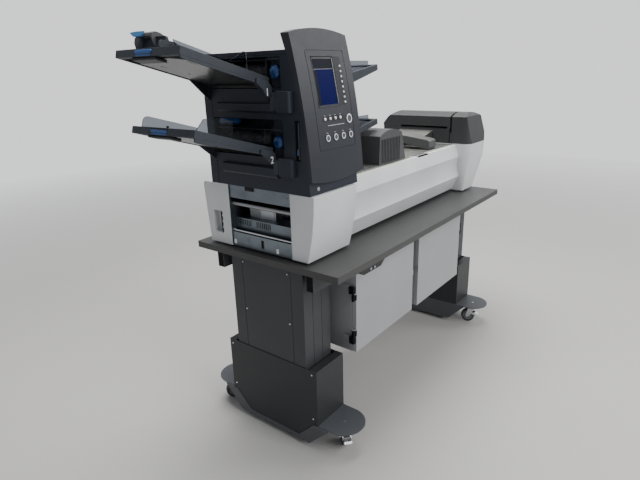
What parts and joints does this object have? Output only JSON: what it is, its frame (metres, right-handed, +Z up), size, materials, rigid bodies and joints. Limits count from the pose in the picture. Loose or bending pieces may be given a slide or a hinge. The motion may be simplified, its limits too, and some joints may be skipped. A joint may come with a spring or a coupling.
{
  "type": "folder inserter",
  "caption": "Folder inserter with a feeder tower, sloping paper trays, a covered transport deck and an exit module, on a height-adjustable cabinet table with casters.",
  "frame": {"origin": "on the floor, under the middle of the table top", "axes": "+X along the table towards the exit module, -Y out of the control side, +Z up"},
  "size_m": [1.8929, 0.748, 1.544],
  "materials": {
    "column_paint": "satin powder coat",
    "frame_paint": "satin powder coat",
    "table_laminate": "grey laminate",
    "cabinet_paint": "satin powder coat",
    "control_black": "fine grain",
    "zinc": "bright zinc",
    "wheel_rubber": "matte",
    "chassis_steel": "bare sheet",
    "motor_alloy": "cast",
    "cover_white": "fine grain",
    "tower_dark": "fine grain",
    "fascia_dark": "fine grain",
    "roller_rubber": "ground",
    "accent_blue": "smooth",
    "key_silver": "smooth",
    "display_glass": "lit screen",
    "tray_dark": "fine grain",
    "guide_smoke": "clear tinted",
    "deck_metal": "brushed",
    "hood_dark": "ribbed"
  },
  "bodies": {
    "stand_base": {"foot_left": "column_paint", "foot_right": "column_paint", "shrouds": "column_paint"},
    "carriage": {"sleeves": "column_paint", "table_top": "table_laminate", "table_frame": "frame_paint", "cabinet_left": "cabinet_paint", "cabinet_right": "cabinet_paint", "lift_control": "control_black", "base_chassis": "chassis_steel", "drive_motor": "motor_alloy", "base_front_cover": "cover_white", "base_rear_cover": "cover_white", "front_panel": "cover_white", "rear_panel": "cover_white", "deck": "deck_metal", "tower_shell": "tower_dark", "fascia": "fascia_dark", "display": "display_glass", "key_mat": "key_silver", "tray_upper_left": "tray_dark", "tray_lower_left": "tray_dark", "tray_upper_right": "tray_dark", "tray_lower_right": "tray_dark", "envelope_hood": "hood_dark", "exit_base": "cover_white", "exit_cap": "fascia_dark"},
    "door_left": {"door_left": "cabinet_paint"},
    "door_right": {"door_right": "cabinet_paint"},
    "lift_up_key": {"lift_up_key": "key_silver"},
    "lift_down_key": {"lift_down_key": "key_silver"},
    "start_key": {"start_key": "key_silver"},
    "mode_key_1": {"mode_key_1": "key_silver"},
    "mode_key_2": {"mode_key_2": "key_silver"},
    "mode_key_3": {"mode_key_3": "key_silver"},
    "mode_key_4": {"mode_key_4": "key_silver"},
    "caster_fork_1": {"caster_fork_1": "zinc"},
    "caster_fork_2": {"caster_fork_2": "zinc"},
    "caster_fork_3": {"caster_fork_3": "zinc"},
    "caster_fork_4": {"caster_fork_4": "zinc"},
    "caster_wheel_1": {"caster_wheel_1": "wheel_rubber"},
    "caster_wheel_2": {"caster_wheel_2": "wheel_rubber"},
    "caster_wheel_3": {"caster_wheel_3": "wheel_rubber"},
    "caster_wheel_4": {"caster_wheel_4": "wheel_rubber"},
    "fold_roller": {"fold_roller": "chassis_steel"},
    "exit_cover": {"exit_cover": "fascia_dark"},
    "feed_roller_upper": {"feed_roller_upper": "roller_rubber"},
    "feed_roller_lower": {"feed_roller_lower": "roller_rubber"},
    "separator_knob_upper": {"separator_knob_upper": "accent_blue"},
    "separator_knob_lower": {"separator_knob_lower": "accent_blue"},
    "tray_latch_upper": {"tray_latch_upper": "accent_blue"},
    "tray_latch_lower": {"tray_latch_lower": "accent_blue"},
    "paper_stop": {"paper_stop": "tray_dark"},
    "guide_upper_left": {"guide_upper_left": "guide_smoke"},
    "guide_lower_left": {"guide_lower_left": "guide_smoke"},
    "guide_upper_right": {"guide_upper_right": "guide_smoke"},
    "guide_lower_right": {"guide_lower_right": "guide_smoke"},
    "front_guide_upper": {"front_guide_upper": "guide_smoke"},
    "front_guide_lower": {"front_guide_lower": "guide_smoke"},
    "guide_arm": {"guide_arm": "hood_dark"}
  },
  "joints": [
    {"name": "table_lift", "type": "slide", "parent": "stand_base", "child": "carriage", "axis": [0, 0, 1], "range_m": [0, 0.2]},
    {"name": "caster_swivel_1", "type": "hinge", "parent": "stand_base", "child": "caster_fork_1", "pos_m": [-0.64375, -0.29725, 0.1], "axis": [0, 0, 1], "continuous": true},
    {"name": "caster_roll_1", "type": "hinge", "parent": "caster_fork_1", "child": "caster_wheel_1", "pos_m": [-0.62832, -0.27886, 0.0375], "axis": [-0.766, 0.6428, 0], "continuous": true},
    {"name": "caster_swivel_2", "type": "hinge", "parent": "stand_base", "child": "caster_fork_2", "pos_m": [-0.64375, 0.29725, 0.1], "axis": [0, 0, 1], "continuous": true},
    {"name": "caster_roll_2", "type": "hinge", "parent": "caster_fork_2", "child": "caster_wheel_2", "pos_m": [-0.66453, 0.30925, 0.0375], "axis": [-0.5, -0.866, 0], "continuous": true},
    {"name": "caster_swivel_3", "type": "hinge", "parent": "stand_base", "child": "caster_fork_3", "pos_m": [0.64375, -0.29725, 0.1], "axis": [0, 0, 1], "continuous": true},
    {"name": "caster_roll_3", "type": "hinge", "parent": "caster_fork_3", "child": "caster_wheel_3", "pos_m": [0.63958, -0.27361, 0.0375], "axis": [-0.9848, -0.1736, 0], "continuous": true},
    {"name": "caster_swivel_4", "type": "hinge", "parent": "stand_base", "child": "caster_fork_4", "pos_m": [0.64375, 0.29725, 0.1], "axis": [0, 0, 1], "continuous": true},
    {"name": "caster_roll_4", "type": "hinge", "parent": "caster_fork_4", "child": "caster_wheel_4", "pos_m": [0.6663, 0.30546, 0.0375], "axis": [-0.342, 0.9397, 0], "continuous": true},
    {"name": "door_hinge_left", "type": "hinge", "parent": "carriage", "child": "door_left", "pos_m": [-0.503, -0.242, 0.5], "axis": [0, 0, -1], "range_deg": [0, 110]},
    {"name": "door_hinge_right", "type": "hinge", "parent": "carriage", "child": "door_right", "pos_m": [0.503, -0.242, 0.5], "axis": [0, 0, 1], "range_deg": [0, 110]},
    {"name": "lift_up_press", "type": "slide", "parent": "carriage", "child": "lift_up_key", "axis": [0, 1, 0], "range_m": [0, 0.0012], "stiffness_N_per_m": 500},
    {"name": "lift_down_press", "type": "slide", "parent": "carriage", "child": "lift_down_key", "axis": [0, 1, 0], "range_m": [0, 0.0012], "stiffness_N_per_m": 500},
    {"name": "fold_roller_spin", "type": "hinge", "parent": "carriage", "child": "fold_roller", "pos_m": [-0.703, 0.02, 0.943], "axis": [0, 1, 0], "continuous": true},
    {"name": "feed_roller_upper_spin", "type": "hinge", "parent": "carriage", "child": "feed_roller_upper", "pos_m": [-0.661, 0.077, 1.417], "axis": [0, 1, 0], "continuous": true},
    {"name": "feed_roller_lower_spin", "type": "hinge", "parent": "carriage", "child": "feed_roller_lower", "pos_m": [-0.661, 0.077, 1.193], "axis": [0, 1, 0], "continuous": true},
    {"name": "separator_upper_turn", "type": "hinge", "parent": "carriage", "child": "separator_knob_upper", "pos_m": [-0.71, -0.089, 1.412], "axis": [-1, 0, 0], "range_deg": [-135, 135]},
    {"name": "separator_lower_turn", "type": "hinge", "parent": "carriage", "child": "separator_knob_lower", "pos_m": [-0.71, -0.089, 1.188], "axis": [-1, 0, 0], "range_deg": [-135, 135]},
    {"name": "start_press", "type": "slide", "parent": "carriage", "child": "start_key", "axis": [0, 0.9899, -0.1415], "range_m": [0, 0.0012], "stiffness_N_per_m": 500},
    {"name": "mode_press_1", "type": "slide", "parent": "carriage", "child": "mode_key_1", "axis": [0, 0.9929, -0.1191], "range_m": [0, 0.0012], "stiffness_N_per_m": 500},
    {"name": "mode_press_2", "type": "slide", "parent": "carriage", "child": "mode_key_2", "axis": [0, 0.9929, -0.1191], "range_m": [0, 0.0012], "stiffness_N_per_m": 500},
    {"name": "mode_press_3", "type": "slide", "parent": "carriage", "child": "mode_key_3", "axis": [0, 0.9929, -0.1191], "range_m": [0, 0.0012], "stiffness_N_per_m": 500},
    {"name": "mode_press_4", "type": "slide", "parent": "carriage", "child": "mode_key_4", "axis": [0, 0.9929, -0.1191], "range_m": [0, 0.0012], "stiffness_N_per_m": 500},
    {"name": "guide_upper_left_slide", "type": "slide", "parent": "carriage", "child": "guide_upper_left", "axis": [0, 1, 0], "range_m": [0, 0.055]},
    {"name": "front_guide_upper_slide", "type": "slide", "parent": "carriage", "child": "front_guide_upper", "axis": [0, 1, 0], "range_m": [-0.055, 0]},
    {"name": "guide_lower_left_slide", "type": "slide", "parent": "carriage", "child": "guide_lower_left", "axis": [0, 1, 0], "range_m": [-0.108, 0.003]},
    {"name": "front_guide_lower_slide", "type": "slide", "parent": "carriage", "child": "front_guide_lower", "axis": [0, 1, 0], "range_m": [-0.003, 0.108]},
    {"name": "guide_upper_right_slide", "type": "slide", "parent": "carriage", "child": "guide_upper_right", "axis": [0, 1, 0], "range_m": [-0.003, 0.108]},
    {"name": "guide_lower_right_slide", "type": "slide", "parent": "carriage", "child": "guide_lower_right", "axis": [0, 1, 0], "range_m": [-0.003, 0.108]},
    {"name": "tray_latch_upper_press", "type": "slide", "parent": "carriage", "child": "tray_latch_upper", "axis": [0.9655, 0, -0.2605], "range_m": [0, 0.0015], "stiffness_N_per_m": 500},
    {"name": "tray_latch_lower_press", "type": "slide", "parent": "carriage", "child": "tray_latch_lower", "axis": [0.9613, 0, -0.2756], "range_m": [0, 0.0015], "stiffness_N_per_m": 500},
    {"name": "paper_stop_slide", "type": "slide", "parent": "carriage", "child": "paper_stop", "axis": [0.9655, 0, -0.2605], "range_m": [0, 0.085]},
    {"name": "guide_arm_lift", "type": "hinge", "parent": "carriage", "child": "guide_arm", "pos_m": [0.389, 0.078, 1.074], "axis": [-1, 0, 0], "range_deg": [0, 50]},
    {"name": "exit_cover_lift", "type": "hinge", "parent": "carriage", "child": "exit_cover", "pos_m": [0.8, 0.078, 1.086], "axis": [0, 1, 0], "range_deg": [0, 70]}
  ],
  "couplings": [
    {"joint": "front_guide_upper_slide", "follows": "guide_upper_left_slide", "ratio": -1},
    {"joint": "front_guide_lower_slide", "follows": "guide_lower_left_slide", "ratio": -1}
  ]
}
